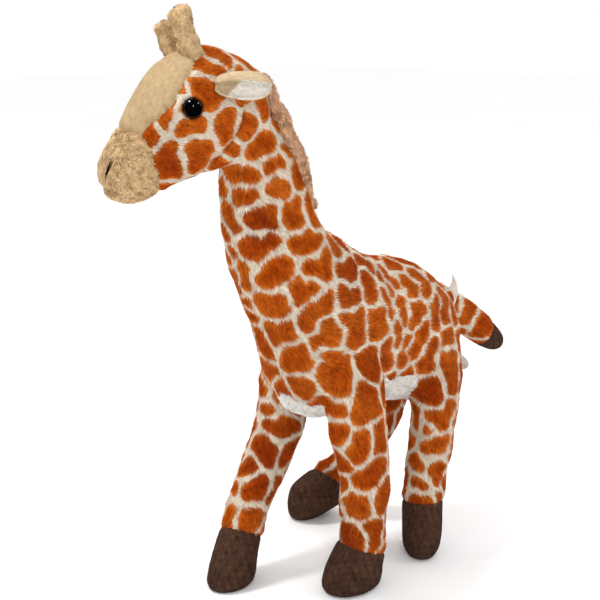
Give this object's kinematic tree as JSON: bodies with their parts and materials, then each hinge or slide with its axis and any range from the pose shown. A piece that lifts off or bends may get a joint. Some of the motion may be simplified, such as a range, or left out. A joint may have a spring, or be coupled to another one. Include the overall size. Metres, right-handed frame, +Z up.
{
  "type": "plush toy giraffe",
  "caption": "Stuffed plush toy giraffe standing on splayed soft legs, with a patched short-pile coat, bead eyes, horns, ears, mane, tail and blank satin labels.",
  "frame": {"origin": "middle of the bounding box, on the ground under the soles", "axes": "+Z up, -Y ahead of the toy, +X to the toy's left"},
  "size_m": [0.1041, 0.2643, 0.3006],
  "materials": {
    "patched_plush": "short plush pile, orange brown patches on a cream net",
    "tan_plush": "tan plush pile, curly on the muzzle",
    "brown_plush": "very short velvety dark brown pile",
    "mane_plush": "rust brown plush pile",
    "eye_bead": "polished black bead",
    "label_satin": "thin off-white satin ribbon, blank"
  },
  "bodies": {
    "root": {"head": "patched_plush", "neck": "patched_plush", "trunk": "patched_plush", "tail": "patched_plush", "muzzle": "tan_plush", "tail_tip": "brown_plush", "leg_front_left": "patched_plush", "leg_front_right": "patched_plush", "leg_hind_left": "patched_plush", "leg_hind_right": "patched_plush", "hoof_front_left": "brown_plush", "hoof_front_right": "brown_plush", "hoof_hind_left": "brown_plush", "hoof_hind_right": "brown_plush", "eye_left": "eye_bead", "eye_right": "eye_bead", "ear_left": "tan_plush", "ear_right": "tan_plush", "horn_left": "tan_plush", "horn_right": "tan_plush", "mane": "mane_plush", "label_upper": "label_satin", "label_lower": "label_satin"}
  },
  "joints": []
}
